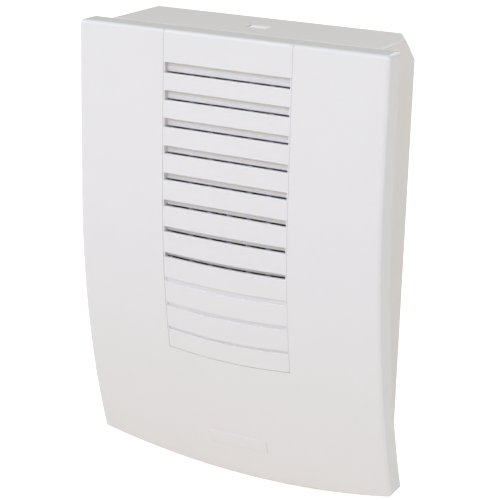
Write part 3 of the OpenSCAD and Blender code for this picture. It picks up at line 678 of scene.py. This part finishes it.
def barTreeMaker():
    tree, given, made = newShapeTree("louvreBars", {
        "Count": ("Int", 1), "First": ("Int", 0), "Across": ("Int", 1), "Across Pitch": ("Float", 0.0),
        "Width": ("Float", 0.01), "Front": ("Float", 0.0), "Back": ("Float", 0.001),
        "Upper Gap Share": ("Float", 0.0), "Upper Trim": ("Float", 0.0), "Lower Step": ("Int", 1),
        "Lower Gap Share": ("Float", 0.0), "Lower Trim": ("Float", 0.0), "Top Z": ("Float", 0.0),
        "Slot First": ("Float", 0.0), "Slot Pitch": ("Float", 0.01), "Gap First": ("Float", 0.003),
        "Gap Step": ("Float", 0.0), "Straight Slots": ("Int", 6), "Bow Step": ("Float", 0.0),
        "Bow Limit": ("Float", 0.0), "Window Half": ("Float", 0.02), "Arc Z": ("Float", 0.0),
        "Front Radius": ("Float", 0.3), "Case Depth": ("Float", 0.04), "Columns": ("Int", 2),
        "Rows": ("Int", 2)})

    def add(a, b):
        return calc(tree, "ADD", a, b)

    def subtract(a, b):
        return calc(tree, "SUBTRACT", a, b)

    def multiply(a, b):
        return calc(tree, "MULTIPLY", a, b)

    def divide(a, b):
        return calc(tree, "DIVIDE", a, b)

    def slatHeight(number):
        return subtract(subtract(given["Top Z"], given["Slot First"]), multiply(given["Slot Pitch"], number))

    def barEdge(number, share, trim):
        gap = subtract(given["Gap First"], multiply(given["Gap Step"], number))
        return add(add(slatHeight(number), multiply(share, gap)), trim)

    # place and size of each bar
    index = addNode(tree, "GeometryNodeInputIndex").outputs[0]
    number = add(given["First"], calc(tree, "FLOOR", divide(index, given["Across"])))
    upper = barEdge(number, given["Upper Gap Share"], given["Upper Trim"])
    lower = barEdge(add(number, given["Lower Step"]), given["Lower Gap Share"], given["Lower Trim"])
    middleColumn = multiply(subtract(given["Across"], 1.0), 0.5)
    column = subtract(calc(tree, "MODULO", index, given["Across"]), middleColumn)
    middleDepth = multiply(add(given["Front"], given["Back"]), 0.5)
    spot = joinXyz(tree, multiply(column, given["Across Pitch"]), subtract(middleDepth, given["Case Depth"]),
                   multiply(add(upper, lower), 0.5))
    size = joinXyz(tree, given["Width"], subtract(given["Back"], given["Front"]), subtract(upper, lower))
    spots = addNode(tree, "GeometryNodePoints", {"Count": given["Count"], "Position": spot})
    bar = addNode(tree, "GeometryNodeMeshCube", {"Size": (1.0, 1.0, 1.0), "Vertices X": given["Columns"],
                                                 "Vertices Y": 2, "Vertices Z": given["Rows"]})
    bars = addNode(tree, "GeometryNodeInstanceOnPoints", {"Points": spots.outputs[0],
                                                          "Instance": bar.outputs["Mesh"], "Scale": size})
    real = addNode(tree, "GeometryNodeRealizeInstances", {0: bars.outputs[0]})

    # bow of the slots, which grows with the slot number, and the front's fall below its flat part
    position = addNode(tree, "GeometryNodeInputPosition").outputs[0]
    here = addNode(tree, "ShaderNodeSeparateXYZ", {0: position}).outputs
    slotNumber = divide(subtract(slatHeight(0.0), here[2]), given["Slot Pitch"])
    bent = subtract(add(slotNumber, 1.0), given["Straight Slots"])
    bow = calc(tree, "MINIMUM", calc(tree, "MAXIMUM", multiply(bent, given["Bow Step"]), 0.0),
               given["Bow Limit"])
    aside = divide(here[0], given["Window Half"])
    sag = multiply(bow, subtract(1.0, multiply(aside, aside)))
    below = calc(tree, "MAXIMUM", add(subtract(given["Arc Z"], here[2]), sag), 0.0)
    radius = given["Front Radius"]
    fall = subtract(radius, calc(tree, "SQRT", subtract(multiply(radius, radius), multiply(below, below))))
    shifted = addNode(tree, "GeometryNodeSetPosition", {
        "Geometry": real.outputs[0], "Offset": joinXyz(tree, 0.0, fall, multiply(sag, -1.0))})
    return endShapeTree(tree, shifted.outputs[0], given, made)


# edges named in withGap lie beyond the slot's gap and not at the slat
def makeBars(tree, name, material, counts, sizes, *withGap):
    shape = panelShape
    allSizes = {
        "Top Z": topZ, "Slot First": shape["slotFirst"], "Slot Pitch": shape["slotPitch"],
        "Gap First": shape["gapFirst"], "Gap Step": shape["gapStep"], "Bow Step": shape["bowStep"],
        "Bow Limit": caseShape["windowBow"], "Window Half": windowHalf, "Arc Z": arcZ,
        "Front Radius": caseShape["frontRadius"], "Case Depth": caseDepth, "Width": 2 * panelHalf, **sizes}
    values = {label: size * mm for label, size in allSizes.items()}
    values.update({edge + " Gap Share": 1.0 for edge in withGap})
    values.update({"Columns": shape["columns"], "Straight Slots": shape["straightSlots"], **counts})
    bars = growTree(name, tree, {**values, "Material": material})
    return roundEdges(bars, shape["edgeRound"], shape["segments"])


def makeSlats(tree, material):
    shape = panelShape
    openCount, blindCount = shape["openSlots"], shape["blindGrooves"]
    last = openCount + blindCount - 1
    thick, overlap, groove = shape["panelThick"], shape["overlap"], shape["grooveDepth"]
    footFall = panelFoot - slatZ(last)
    bars = {
        "openSlats": ({"Count": openCount, "Lower Step": 1, "Rows": shape["slatRows"]},
                      {"Front": 0.0, "Back": shape["slatThick"]}, "Lower"),
        "slatBlocks": ({"Count": openCount, "Lower Step": 1, "Rows": shape["blockRows"]},
                       {"Front": behindSlat, "Back": thick, "Upper Trim": -shape["pocketHeight"]}, "Lower"),
        "slotStrips": ({"Count": openCount, "Lower Step": 0, "Rows": shape["stripRows"]},
                       {"Front": shape["slotDepth"], "Back": thick - shape["step"], "Upper Trim": overlap,
                        "Lower Trim": shape["slitLift"]}, "Upper"),
        "blindSlats": ({"Count": blindCount - 1, "First": openCount, "Lower Step": 1,
                        "Rows": shape["blindRows"]}, {"Front": 0.0, "Back": groove + overlap}, "Lower"),
        "panelFoot": ({"Count": 1, "First": last, "Lower Step": 0, "Rows": shape["blindRows"]},
                      {"Front": 0.0, "Back": groove + overlap, "Lower Trim": footFall}),
        "grooveBacking": ({"Count": 1, "First": openCount, "Lower Step": blindCount - 1,
                           "Rows": shape["backingRows"]},
                          {"Front": groove, "Back": thick, "Upper Trim": slotGap(openCount),
                           "Lower Trim": footFall}),
    }
    return [makeBars(tree, name, material, *values) for name, values in bars.items()]


# ribs and rails behind the slats: full height at the back, lower where the slit shows
def makeRibs(tree, material):
    shape = panelShape
    overlap = shape["overlap"]
    rows = {"slatRib": (shape["ribCount"], shape["ribPitch"], shape["ribWidth"]),
            "slatRail": (2, 2 * panelHalf - shape["railWidth"], shape["railWidth"])}
    levels = ((behindSlat, shape["ribBack"] + overlap, -shape["ribDrop"]),
              (shape["ribBack"], shape["panelThick"] - 2 * shape["step"], shape["slitLift"] + overlap))
    made = []
    for name, (across, pitch, width) in rows.items():
        counts = {"Count": shape["openSlots"] * across, "Across": across, "Lower Step": 0, "Columns": 2,
                  "Rows": 2}
        for front, back, top in levels:
            sizes = {"Across Pitch": pitch, "Width": width, "Front": front, "Back": back, "Upper Trim": top,
                     "Lower Trim": -shape["pocketHeight"] - overlap}
            made.append(makeBars(tree, name, material, counts, sizes))
    return made


# end walls of the slots, and the flange behind the window's edge
def makePanelEdges():
    shape = panelShape
    step, rows = shape["step"], shape["edgeRows"]
    wallZs = (panelFoot, slatZ(0) + slotGap(0) + shape["overlap"])
    wallDepths = (step, shape["panelThick"] - 3 * step)
    inner, outer = panelHalf - shape["slotEnd"] / 2, windowHalf + caseShape["flangeWidth"]
    flangeDepths = (shape["flangeDepth"], shape["flangeDepth"] + shape["flangeThick"])
    flangeFoot = windowLow - caseShape["windowBow"] - caseShape["flangeWidth"]
    flangeZs = (flangeFoot, topZ - caseShape["wall"] - shape["overlap"])
    made = []
    for sign in (-1, 1):
        wallXs = sorted((sign * (panelHalf - step), sign * (panelHalf - shape["slotEnd"])))
        wall = curvedBlock("slotEnd", wallXs, wallZs, wallDepths, 1, rows)
        made.append(roundEdges(wall, shape["edgeRound"], shape["segments"]))
        flangeXs = sorted((sign * inner, sign * outer))
        made.append(curvedBlock("panelFlange", flangeXs, flangeZs, flangeDepths,
                                shape["flangeColumns"], rows))
    made.append(curvedBlock("panelFlange", (-inner, inner), (flangeFoot, windowLow), flangeDepths,
                            shape["footColumns"], shape["footRows"]))
    return made


def makePanelTop():
    topRound, rim, wall = coverShape["edgeRound"], caseShape["rimDepth"], caseShape["wall"]
    thick, foot = panelShape["panelThick"], slatZ(0) + slotGap(0)
    profile = [(0.0, foot), (0.0, topZ), (rim, topZ), (rim, topZ - wall), (thick, topZ - wall),
               (thick, foot)]
    points = [(x, depth - caseDepth, z) for x in (-panelHalf, panelHalf) for depth, z in profile]
    count = len(profile)
    faces = [list(range(count)), list(range(count, 2 * count))]
    faces += [[i, (i + 1) % count, count + (i + 1) % count, count + i] for i in range(count)]
    top = faceOutwards(meshPiece("panelTop", points, faces))

    def onTopEdge(vertex):
        spot = vertex.co / mm
        return spot.z > topZ - wall / 2 and spot.y < rim / 2 - caseDepth

    def topShare(edge):
        if all(onTopEdge(v) for v in edge.verts):
            return coverShape["roundTop"]
        return panelShape["edgeRound"] / topRound

    weighEdges(top, topShare)
    return roundEdges(top, topRound, coverShape["segments"], byWeight=True)


def makePanel(material):
    tree = barTreeMaker()
    made = makeSlats(tree, material) + makeRibs(tree, material) + makePanelEdges()
    return joinPieces("louvrePanel", makePanelTop(), *made)


louvrePanel = makePanel(finishes["panelWhite"])
finishPiece(louvrePanel, "cover", "panel_plastic", finishes["panelWhite"], "grille_panel")
print("louvred panel made:", len(louvrePanel.data.polygons), "faces")


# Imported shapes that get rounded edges: a merged copy stands for the node

softEdges = {
    # node: piece, rounding in millimetres, body, slot, finish
    "latch_tongue": ("latchTongue", 0.15, "latch", "panel_plastic", "panelWhite"),
    "tone_bar_left": ("toneBarLeft", 0.35, "base", "bar_steel", "barSteel"),
    "tone_bar_right": ("toneBarRight", 0.35, "base", "bar_steel", "barSteel"),
    "bar_grommets": ("barGrommets", 0.5, "base", "soft_rubber", "softRubber"),
    "bar_caps": ("barCaps", 0.2, "base", "cap_nylon", "capNylon"),
    "solenoid_yoke": ("solenoidYoke", 0.25, "base", "zinc_steel", "zincSteel"),
    "yoke_screws": ("yokeScrews", 0.1, "base", "screw_steel", "screwSteel"),
    "coil_bobbin": ("coilBobbin", 0.25, "base", "bobbin_plastic", "bobbinPlastic"),
    "coil_tape": ("coilTape", 0.08, "base", "coil_tape", "coilTape"),
    "plunger_core": ("plungerCore", 0.15, "plunger", "core_steel", "coreSteel"),
    "striker_left": ("strikerLeft", 0.25, "plunger", "striker_nylon", "strikerNylon"),
    "striker_right": ("strikerRight", 0.25, "plunger", "striker_nylon", "strikerNylon"),
    "spring_clip": ("springClip", 0.1, "plunger", "spring_steel", "springSteel"),
    "terminal_block": ("terminalBlock", 0.35, "base", "terminal_plastic", "terminalPlastic"),
    "terminal_clamps": ("terminalClamps", 0.1, "base", "clamp_brass", "clampBrass"),
    "terminal_screws": ("terminalScrews", 0.1, "base", "clamp_brass", "clampBrass"),
    "terminal_fixing": ("terminalFixing", 0.1, "base", "screw_steel", "screwSteel"),
    "cable_clamp": ("cableClamp", 0.35, "base", "tray_plastic", "trayWhite"),
    "cable_clamp_screws": ("cableClampScrews", 0.1, "base", "screw_steel", "screwSteel"),
    "cable_grommet": ("cableGrommet", 0.45, "base", "soft_rubber", "softRubber"),
}
mergeShape = {
    "mergeGap": 0.001,      # points closer than this become one
    "flatAngle": 0.5,       # degrees, below which faces become one
    "sharpAngle": 40.0,     # degrees, above which an edge is rounded
    "segments": 2,
}


def mergedCopy(nodeName, pieceName):
    piece = meshPiece(pieceName)
    solid = bmesh.new()
    solid.from_mesh(nodes[nodeName].data)
    bmesh.ops.remove_doubles(solid, verts=solid.verts, dist=mergeShape["mergeGap"] * mm)
    bmesh.ops.dissolve_limit(solid, angle_limit=math.radians(mergeShape["flatAngle"]), verts=solid.verts,
                             edges=solid.edges)
    solid.to_mesh(piece.data)
    solid.free()
    return piece


for nodeName, (pieceName, rounding, body, slotName, finish) in softEdges.items():
    softened = roundEdges(mergedCopy(nodeName, pieceName), rounding, mergeShape["segments"],
                          angle=mergeShape["sharpAngle"])
    finishPiece(softened, body, slotName, finishes[finish], nodeName)
print("packed shapes softened:", len(softEdges))


# Tray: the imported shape, with its outer edges rounded

trayShape = {
    "edgeRound": 0.5,
    "segments": 3,
    "sharpAngle": 20.0,     # degrees, above which an edge is rounded or stays sharp
    "near": 0.1,            # how close to the tray's box an outer edge lies
}


def makeTray():
    tray = mergedCopy("base_housing", "trayShell")
    near, sharp = trayShape["near"], math.radians(trayShape["sharpAngle"])

    def onOuterEdge(vertex):
        spot = vertex.co / mm
        return sum((abs(spot.x) > trayHigh.x - near, abs(spot.z) > trayHigh.z - near, spot.y > -near)) > 1

    def outerShare(edge):
        bent = len(edge.link_faces) == 2 and edge.calc_face_angle() > sharp
        return 1.0 if bent and all(onOuterEdge(v) for v in edge.verts) else 0.0

    weighEdges(tray, outerShare)
    tray.data.set_sharp_from_angle(angle=sharp)
    return roundEdges(tray, trayShape["edgeRound"], trayShape["segments"], byWeight=True)


trayShell = finishPiece(makeTray(), "base", "tray_plastic", finishes["trayWhite"], "base_housing")
print("tray made:", len(trayShell.data.polygons), "faces")


# Wound wire: one helix along X for the coil's winding and one for the return spring

windingShape = {
    "wire": 0.42,
    "turns": None,          # as many as lie side by side
    "closedEnds": 0.0,
    "turnPoints": 36,
    "sides": 6,
}
springShape = {
    "wire": 0.7,
    "turns": 8,
    "closedEnds": 0.55,     # how much closer the turns lie at the ends
    "turnPoints": 40,
    "sides": 12,
}


def coilTreeMaker():
    tree, given, made = newShapeTree("woundWire", {
        "Start X": ("Float", 0.0), "End X": ("Float", 0.01), "Axis Y": ("Float", 0.0),
        "Axis Z": ("Float", 0.0), "Radius": ("Float", 0.005), "Wire Radius": ("Float", 0.0003),
        "Turns": ("Float", 8.0), "Closed Ends": ("Float", 0.0), "Turn Points": ("Int", 32),
        "Wire Sides": ("Int", 8)})
    line = addNode(tree, "GeometryNodeResampleCurve", {
        "Curve": addNode(tree, "GeometryNodeCurvePrimitiveLine").outputs[0],
        "Count": calc(tree, "MULTIPLY", given["Turns"], given["Turn Points"])})
    share = addNode(tree, "GeometryNodeSplineParameter").outputs["Factor"]
    swing = calc(tree, "SINE", calc(tree, "MULTIPLY", share, 2 * math.pi))
    closing = calc(tree, "MULTIPLY", calc(tree, "MULTIPLY", swing, given["Closed Ends"]), 0.5 / math.pi)
    length = calc(tree, "SUBTRACT", given["End X"], given["Start X"])
    run = calc(tree, "MULTIPLY_ADD", calc(tree, "SUBTRACT", share, closing), length, given["Start X"])
    angle = calc(tree, "MULTIPLY", calc(tree, "MULTIPLY", share, given["Turns"]), 2 * math.pi)
    spot = joinXyz(tree, run,
                   calc(tree, "MULTIPLY_ADD", calc(tree, "COSINE", angle), given["Radius"], given["Axis Y"]),
                   calc(tree, "MULTIPLY_ADD", calc(tree, "SINE", angle), given["Radius"], given["Axis Z"]))
    helix = addNode(tree, "GeometryNodeSetPosition", {"Geometry": line.outputs[0], "Position": spot})
    wire = sweepWire(tree, helix.outputs[0], given["Wire Radius"], given["Wire Sides"])
    return endShapeTree(tree, wire, given, made)


def makeCoil(tree, name, nodeName, shape, material):
    low, high = packedBox(nodeName)
    middle = (low + high) / 2
    wire = shape["wire"]
    sizes = {"Start X": low.x + wire / 2, "End X": high.x - wire / 2, "Axis Y": middle.y, "Axis Z": middle.z,
             "Radius": (high.z - low.z) / 2 - wire / 2, "Wire Radius": wire / 2}
    values = {label: size * mm for label, size in sizes.items()}
    turns = shape["turns"] or round((high.x - low.x) / wire) - 1
    return growTree(name, tree, {
        **values, "Turns": float(turns), "Closed Ends": shape["closedEnds"], "Material": material,
        "Turn Points": shape["turnPoints"], "Wire Sides": shape["sides"]})


coilTree = coilTreeMaker()
coilWinding = makeCoil(coilTree, "coilWinding", "coil_winding", windingShape, finishes["copperWire"])
finishPiece(coilWinding, "base", "copper_wire", finishes["copperWire"], "coil_winding")
returnSpring = makeCoil(coilTree, "returnSpring", "return_spring", springShape, finishes["springSteel"])
finishPiece(returnSpring, None, "spring_steel", finishes["springSteel"], "return_spring")
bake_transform(returnSpring)
print("wound wire made")


# Leads: smooth insulated wires from the coil's underside down into the terminal block

leadShape = {
    "diameter": 1.4,
    "coilPlace": (-17.0, -4.4),     # Y and Z where the leads leave the coil
    "coilRun": 4.0,                 # straight run below the coil
    "blockPlace": (-8.7, -31.5),    # Y and Z in the terminal block
    "blockRun": 4.0,                # straight run before that place and after it
    "sides": 16,
    "steps": 60,
}
leadList = {
    # node: piece, X at the coil, X at the terminal block, slot, finish
    "coil_lead_left": ("coilLeadLeft", -3.5, -6.5, "lead_red", "leadRed"),
    "coil_lead_right": ("coilLeadRight", 13.5, 6.5, "lead_black", "leadBlack"),
}


def leadTreeMaker():
    tree, given, made = newShapeTree("leadRun", {
        "Geometry": ("Geometry", None), "Radius": ("Float", 0.0007), "Sides": ("Int", 16),
        "Steps": ("Int", 60)})
    route = addNode(tree, "GeometryNodeMeshToCurve", {0: given["Geometry"]})
    smooth = addNode(tree, "GeometryNodeCurveSplineType", {0: route.outputs[0]}, spline_type="CATMULL_ROM")
    fine = addNode(tree, "GeometryNodeResampleCurve", {"Curve": smooth.outputs[0], "Count": given["Steps"]})
    wire = sweepWire(tree, fine.outputs[0], given["Radius"], given["Sides"])
    return endShapeTree(tree, wire, given, made)


def makeLead(tree, name, coilX, blockX, material):
    shape = leadShape
    drop, sink = Vector((0, 0, shape["coilRun"])), Vector((0, 0, shape["blockRun"]))
    leave = Vector((coilX, *shape["coilPlace"])) - drop
    arrive = Vector((blockX, *shape["blockPlace"])) + sink
    route = [leave + drop, leave, leave.lerp(arrive, 1 / 3), leave.lerp(arrive, 2 / 3), arrive,
             arrive - 2 * sink]
    links = [(i, i + 1) for i in range(len(route) - 1)]
    values = {"Radius": shape["diameter"] / 2 * mm, "Sides": shape["sides"], "Steps": shape["steps"],
              "Material": material}
    return growTree(name, tree, values, route, links)


leadTree = leadTreeMaker()
for nodeName, (pieceName, coilX, blockX, slotName, finish) in leadList.items():
    lead = makeLead(leadTree, pieceName, coilX, blockX, finishes[finish])
    finishPiece(lead, "base", slotName, finishes[finish], nodeName)
print("leads made:", len(leadList))


# Floor, light and camera

studio = {
    "floorSize": 60.0,          # metres
    "floorColour": (0.80, 0.74, 0.68),
    "floorShade": (0.78, 0.72, 0.66),
    "floorRough": (0.8, 0.9),
    "floorGrain": 400.0,
    "floorMottle": 3.0,
    "floorGlow": 0.155,          # light that the floor gives to the object
    "glowColour": (1.0, 0.89, 0.62),
    "floorWhite": 0.665,         # further light that only the picture of the floor gets
    "worldColour": (1.0, 0.98, 0.76),
    "worldStrength": 0.33,
    "worldWhite": 0.73,          # further light that only the picture of the backdrop gets
    "lampReach": 1.4,           # metres from the origin to each lamp
}
lampList = {
    # name: degrees round to the right of the front, degrees up, size in metres, watts, colour
    "frontLamp": (0.0, 35.5, 0.7, 9.75, (0.745, 0.785, 1.0)),
    "edgeLamp": (-46.0, 51.0, 0.3, 2.2, (1.0, 0.94, 0.76)),
    "rearLamp": (180.0, 12.0, 0.7, 5.2, (0.86, 0.87, 0.92)),
    "leftLamp": (-75.0, 20.0, 0.7, 6.2, (0.64, 0.71, 1.0)),
    "rightLamp": (95.0, 20.0, 0.7, 6.2, (0.68, 0.75, 0.97)),
}
photoCamera = {
    "place": (0.229622, -0.460358, 0.157873),   # metres
    "turn": (71.832, -1.346, 27.920),           # degrees
    "lens": 112.2,
    "sensor": 36.0,
    "clipStart": 0.01,
}


# glow that turns white, and brighter, where the camera itself sees it
def whiteInPicture(tree, colour, strength, white):
    seen = addNode(tree, "ShaderNodeLightPath").outputs["Is Camera Ray"]
    tint = mixColours(tree, seen, (*colour, 1), (1, 1, 1, 1))
    return tint, calc(tree, "MULTIPLY_ADD", seen, white, strength)


def makeFloor():
    half = studio["floorSize"] / 2 / mm
    corners = [(-half, -half, lowZ), (half, -half, lowZ), (half, half, lowZ), (-half, half, lowZ)]
    floor = meshPiece("floor", corners, [(0, 1, 2, 3)])
    material = plastic("floorPale", studio["floorColour"], studio["floorShade"], studio["floorRough"],
                       studio["floorGrain"], studio["floorMottle"], bump=0.0, Specular_IOR_Level=0.0)
    tree = material.node_tree
    surface = tree.nodes["Principled BSDF"]
    tint, glow = whiteInPicture(tree, studio["glowColour"], studio["floorGlow"], studio["floorWhite"])
    tree.links.new(tint, surface.inputs["Emission Color"])
    tree.links.new(glow, surface.inputs["Emission Strength"])
    floor.data.materials.append(material)


def makeWorld():
    world = bpy.data.worlds.new("studioWorld")
    world.use_nodes = True
    tree = world.node_tree
    backdrop = tree.nodes["Background"]
    tint, glow = whiteInPicture(tree, studio["worldColour"], studio["worldStrength"], studio["worldWhite"])
    tree.links.new(tint, backdrop.inputs["Color"])
    tree.links.new(glow, backdrop.inputs["Strength"])
    bpy.context.scene.world = world


def makeLamp(name, azimuth, elevation, size, watts, colour):
    lamp = bpy.data.lights.new(name, "AREA")
    lamp.energy = watts
    lamp.size = size
    lamp.color = colour
    around, up = math.radians(azimuth), math.radians(elevation)
    stand = bpy.data.objects.new(name, lamp)
    stand.location = studio["lampReach"] * Vector(
        (math.sin(around) * math.cos(up), -math.cos(around) * math.cos(up), math.sin(up)))
    stand.rotation_euler = (-stand.location).to_track_quat("-Z", "Y").to_euler()
    bpy.context.collection.objects.link(stand)


def makeCamera():
    lens = bpy.data.cameras.new("photoCamera")
    lens.lens = photoCamera["lens"]
    lens.sensor_width = photoCamera["sensor"]
    lens.sensor_fit = "HORIZONTAL"
    lens.clip_start = photoCamera["clipStart"]
    camera = bpy.data.objects.new("photoCamera", lens)
    camera.location = photoCamera["place"]
    camera.rotation_euler = [math.radians(angle) for angle in photoCamera["turn"]]
    bpy.context.collection.objects.link(camera)
    bpy.context.scene.camera = camera


makeFloor()
for lampName, lampValues in lampList.items():
    makeLamp(lampName, *lampValues)
makeCamera()
makeWorld()
bpy.context.scene.view_settings.view_transform = "Standard"
print("studio made:", len(lampList), "lamps")
